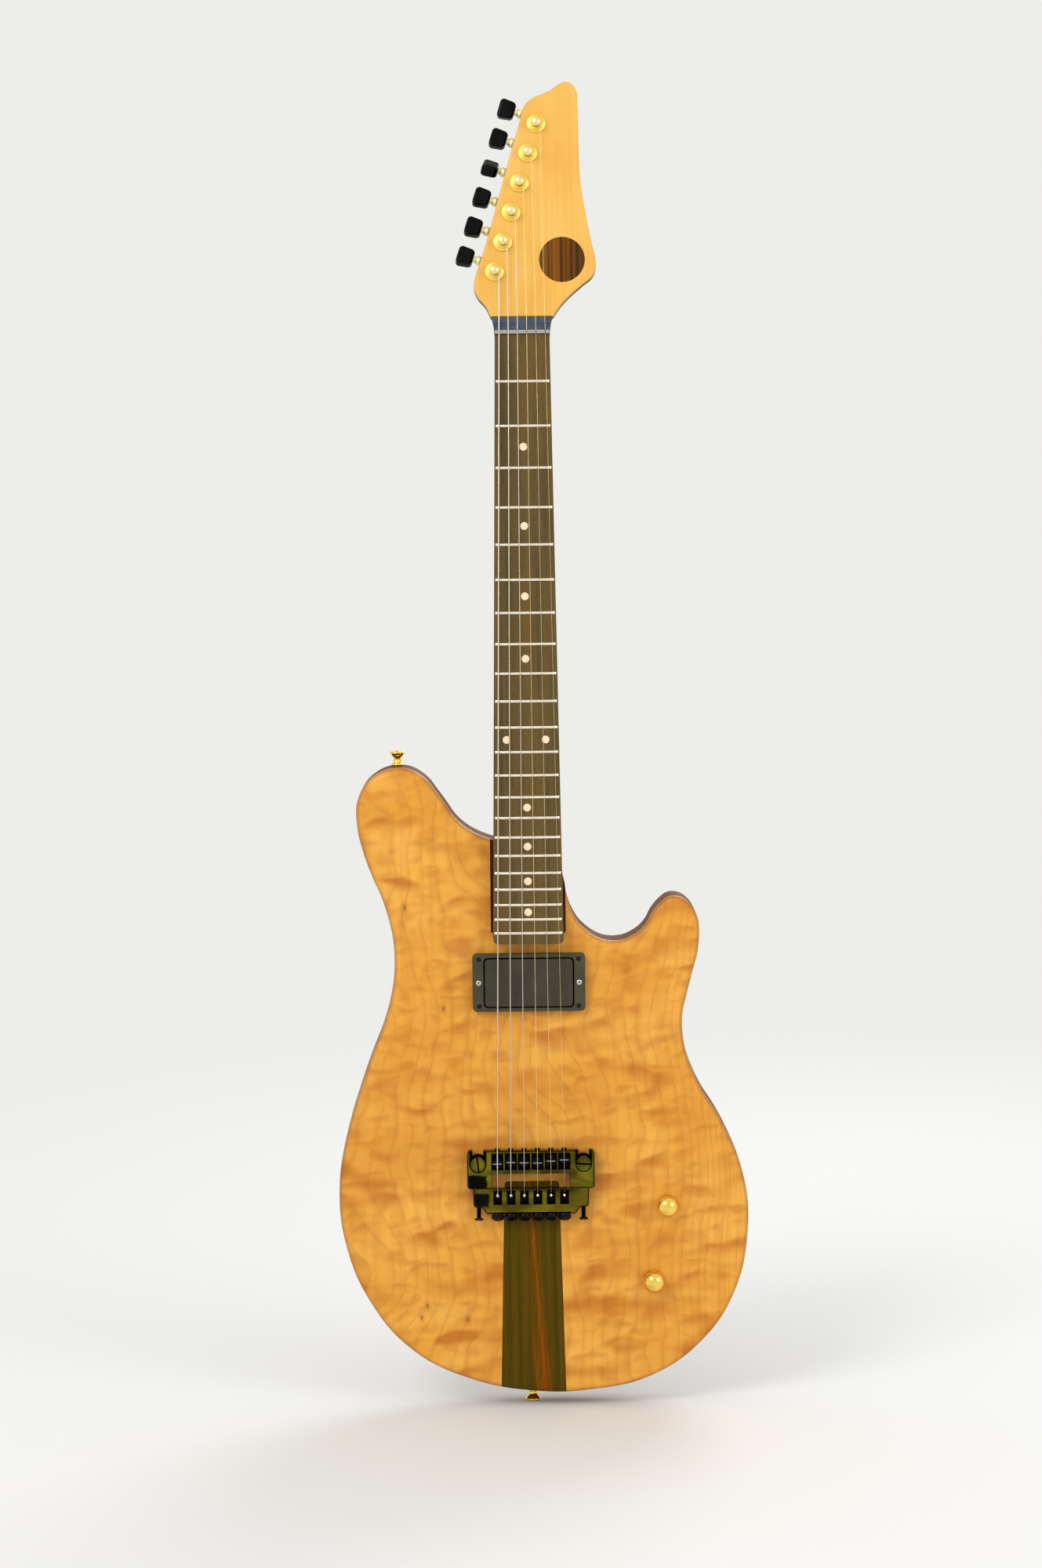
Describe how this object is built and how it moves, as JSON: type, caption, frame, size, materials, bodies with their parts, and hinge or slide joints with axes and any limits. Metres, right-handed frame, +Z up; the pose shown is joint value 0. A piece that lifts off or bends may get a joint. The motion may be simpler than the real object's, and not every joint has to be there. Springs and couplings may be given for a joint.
{
  "type": "solid-body electric guitar",
  "caption": "Solid-body electric guitar with a quilted maple top, set neck, dark centre strip, humbucker pickup and wrap-around fine-tuning bridge.",
  "frame": {"origin": "on the flat back face of the body, on the neck's centre line, 560 mm below the nut's front edge", "axes": "+Z up the neck towards the headstock, -Y out of the front, +X to the treble side (right as seen from the front)"},
  "size_m": [0.3233, 0.0598, 1.0407],
  "materials": {
    "mahogany": "satin lacquered brown mahogany, back, sides and neck",
    "quilted_maple": "clear satin over honey-amber quilted maple",
    "headstock_maple": "clear satin over pale maple",
    "dark_rosewood": "polished dark rosewood with orange streaks",
    "fingerboard_rosewood": "bare oiled rosewood",
    "graphite_nut": "smooth grey graphite",
    "black_plastic": "satin black plastic",
    "black_gloss": "polished black",
    "black_chrome": "dark mirror plating",
    "gold_plate": "polished gold plating",
    "steel": "plain nickel-plated steel",
    "string_steel": "plain and wound string steel",
    "battery_case": "plain metal case, no label"
  },
  "bodies": {
    "guitar": {"battery": "battery_case", "body_core": "mahogany", "body_top": "quilted_maple", "bridge_frame": "black_chrome", "bridge_stud_bass": "black_chrome", "bridge_stud_treble": "black_chrome", "centre_strip": "dark_rosewood", "control_cover": "black_plastic", "fretboard": "fingerboard_rosewood", "headstock_inlay": "dark_rosewood", "headstock_overlay": "headstock_maple", "neck": "mahogany", "nut": "graphite_nut", "nut_ramp": "dark_rosewood", "output_jack": "gold_plate", "pickup_ring": "black_plastic", "pot_tone": "steel", "pot_volume": "steel", "strap_button_horn": "gold_plate", "strap_button_tail": "gold_plate", "string_1": "string_steel", "string_2": "string_steel", "string_3": "string_steel", "string_4": "string_steel", "string_5": "string_steel", "string_6": "string_steel", "truss_rod": "steel", "tuner_housing_1": "gold_plate", "tuner_housing_2": "gold_plate", "tuner_housing_3": "gold_plate", "tuner_housing_4": "gold_plate", "tuner_housing_5": "gold_plate", "tuner_housing_6": "gold_plate"},
    "tuner_button_1": {"tuner_button_1": "black_gloss"},
    "tuner_post_1": {"tuner_post_1": "gold_plate"},
    "tuner_button_2": {"tuner_button_2": "black_gloss"},
    "tuner_post_2": {"tuner_post_2": "gold_plate"},
    "tuner_button_3": {"tuner_button_3": "black_gloss"},
    "tuner_post_3": {"tuner_post_3": "gold_plate"},
    "tuner_button_4": {"tuner_button_4": "black_gloss"},
    "tuner_post_4": {"tuner_post_4": "gold_plate"},
    "tuner_button_5": {"tuner_button_5": "black_gloss"},
    "tuner_post_5": {"tuner_post_5": "gold_plate"},
    "tuner_button_6": {"tuner_button_6": "black_gloss"},
    "tuner_post_6": {"tuner_post_6": "gold_plate"},
    "knob_volume": {"knob_volume": "gold_plate"},
    "knob_tone": {"knob_tone": "gold_plate"},
    "fine_tuner_1": {"fine_tuner_1": "black_gloss"},
    "fine_tuner_2": {"fine_tuner_2": "black_gloss"},
    "fine_tuner_3": {"fine_tuner_3": "black_gloss"},
    "fine_tuner_4": {"fine_tuner_4": "black_gloss"},
    "fine_tuner_5": {"fine_tuner_5": "black_gloss"},
    "fine_tuner_6": {"fine_tuner_6": "black_gloss"},
    "saddle_1": {"saddle_1": "black_chrome"},
    "saddle_2": {"saddle_2": "black_chrome"},
    "saddle_3": {"saddle_3": "black_chrome"},
    "saddle_4": {"saddle_4": "black_chrome"},
    "saddle_5": {"saddle_5": "black_chrome"},
    "saddle_6": {"saddle_6": "black_chrome"},
    "pickup": {"pickup": "black_plastic"}
  },
  "joints": [
    {"name": "tuner_button_1_spin", "type": "hinge", "parent": "guitar", "child": "tuner_button_1", "pos_m": [0.01491, -0.00881, 0.72864], "axis": [-0.9608, 0.0386, 0.2746], "continuous": true},
    {"name": "tuner_post_1_spin", "type": "hinge", "parent": "guitar", "child": "tuner_post_1", "pos_m": [0.0125, -0.02899, 0.72303], "axis": [0, -0.9903, 0.1392], "continuous": true},
    {"name": "tuner_button_2_spin", "type": "hinge", "parent": "guitar", "child": "tuner_button_2", "pos_m": [0.00823, -0.01203, 0.70571], "axis": [-0.9608, 0.0386, 0.2746], "continuous": true},
    {"name": "tuner_post_2_spin", "type": "hinge", "parent": "guitar", "child": "tuner_post_2", "pos_m": [0.00582, -0.03221, 0.7001], "axis": [0, -0.9903, 0.1392], "continuous": true},
    {"name": "tuner_button_3_spin", "type": "hinge", "parent": "guitar", "child": "tuner_button_3", "pos_m": [0.00155, -0.01525, 0.68278], "axis": [-0.9608, 0.0386, 0.2746], "continuous": true},
    {"name": "tuner_post_3_spin", "type": "hinge", "parent": "guitar", "child": "tuner_post_3", "pos_m": [-0.00087, -0.03543, 0.67717], "axis": [0, -0.9903, 0.1392], "continuous": true},
    {"name": "tuner_button_4_spin", "type": "hinge", "parent": "guitar", "child": "tuner_button_4", "pos_m": [-0.00514, -0.01848, 0.65985], "axis": [-0.9608, 0.0386, 0.2746], "continuous": true},
    {"name": "tuner_post_4_spin", "type": "hinge", "parent": "guitar", "child": "tuner_post_4", "pos_m": [-0.00755, -0.03865, 0.65424], "axis": [0, -0.9903, 0.1392], "continuous": true},
    {"name": "tuner_button_5_spin", "type": "hinge", "parent": "guitar", "child": "tuner_button_5", "pos_m": [-0.01182, -0.0217, 0.63692], "axis": [-0.9608, 0.0386, 0.2746], "continuous": true},
    {"name": "tuner_post_5_spin", "type": "hinge", "parent": "guitar", "child": "tuner_post_5", "pos_m": [-0.01423, -0.04188, 0.63131], "axis": [0, -0.9903, 0.1392], "continuous": true},
    {"name": "tuner_button_6_spin", "type": "hinge", "parent": "guitar", "child": "tuner_button_6", "pos_m": [-0.0185, -0.02492, 0.61399], "axis": [-0.9608, 0.0386, 0.2746], "continuous": true},
    {"name": "tuner_post_6_spin", "type": "hinge", "parent": "guitar", "child": "tuner_post_6", "pos_m": [-0.02092, -0.0451, 0.60838], "axis": [0, -0.9903, 0.1392], "continuous": true},
    {"name": "knob_volume_turn", "type": "hinge", "parent": "guitar", "child": "knob_volume", "pos_m": [0.1075, -0.044, -0.1243], "axis": [0, -1, 0], "range_deg": [-150, 150]},
    {"name": "knob_tone_turn", "type": "hinge", "parent": "guitar", "child": "knob_tone", "pos_m": [0.0963, -0.044, -0.1844], "axis": [0, -1, 0], "range_deg": [-150, 150]},
    {"name": "fine_tuner_1_turn", "type": "hinge", "parent": "guitar", "child": "fine_tuner_1", "pos_m": [0.0263, -0.053, -0.1312], "axis": [0, -0.6428, -0.766], "range_deg": [-360, 360]},
    {"name": "fine_tuner_2_turn", "type": "hinge", "parent": "guitar", "child": "fine_tuner_2", "pos_m": [0.01578, -0.053, -0.1312], "axis": [0, -0.6428, -0.766], "range_deg": [-360, 360]},
    {"name": "fine_tuner_3_turn", "type": "hinge", "parent": "guitar", "child": "fine_tuner_3", "pos_m": [0.00526, -0.053, -0.1312], "axis": [0, -0.6428, -0.766], "range_deg": [-360, 360]},
    {"name": "fine_tuner_4_turn", "type": "hinge", "parent": "guitar", "child": "fine_tuner_4", "pos_m": [-0.00526, -0.053, -0.1312], "axis": [0, -0.6428, -0.766], "range_deg": [-360, 360]},
    {"name": "fine_tuner_5_turn", "type": "hinge", "parent": "guitar", "child": "fine_tuner_5", "pos_m": [-0.01578, -0.053, -0.1312], "axis": [0, -0.6428, -0.766], "range_deg": [-360, 360]},
    {"name": "fine_tuner_6_turn", "type": "hinge", "parent": "guitar", "child": "fine_tuner_6", "pos_m": [-0.0263, -0.053, -0.1312], "axis": [0, -0.6428, -0.766], "range_deg": [-360, 360]},
    {"name": "saddle_1_slide", "type": "slide", "parent": "guitar", "child": "saddle_1", "axis": [0, 0, 1], "range_m": [-0.0037, 0.001]},
    {"name": "saddle_2_slide", "type": "slide", "parent": "guitar", "child": "saddle_2", "axis": [0, 0, 1], "range_m": [-0.0029, 0.0018]},
    {"name": "saddle_3_slide", "type": "slide", "parent": "guitar", "child": "saddle_3", "axis": [0, 0, 1], "range_m": [-0.0015, 0.0032]},
    {"name": "saddle_4_slide", "type": "slide", "parent": "guitar", "child": "saddle_4", "axis": [0, 0, 1], "range_m": [-0.0019, 0.0028]},
    {"name": "saddle_5_slide", "type": "slide", "parent": "guitar", "child": "saddle_5", "axis": [0, 0, 1], "range_m": [-0.0022, 0.0025]},
    {"name": "saddle_6_slide", "type": "slide", "parent": "guitar", "child": "saddle_6", "axis": [0, 0, 1], "range_m": [-0.0009, 0.0038]},
    {"name": "pickup_height", "type": "slide", "parent": "guitar", "child": "pickup", "axis": [0, -1, 0], "range_m": [-0.002, 0.002]}
  ],
  "couplings": [
    {"joint": "tuner_post_1_spin", "follows": "tuner_button_1_spin", "ratio": 0.066667},
    {"joint": "tuner_post_2_spin", "follows": "tuner_button_2_spin", "ratio": 0.066667},
    {"joint": "tuner_post_3_spin", "follows": "tuner_button_3_spin", "ratio": 0.066667},
    {"joint": "tuner_post_4_spin", "follows": "tuner_button_4_spin", "ratio": 0.066667},
    {"joint": "tuner_post_5_spin", "follows": "tuner_button_5_spin", "ratio": 0.066667},
    {"joint": "tuner_post_6_spin", "follows": "tuner_button_6_spin", "ratio": 0.066667}
  ]
}
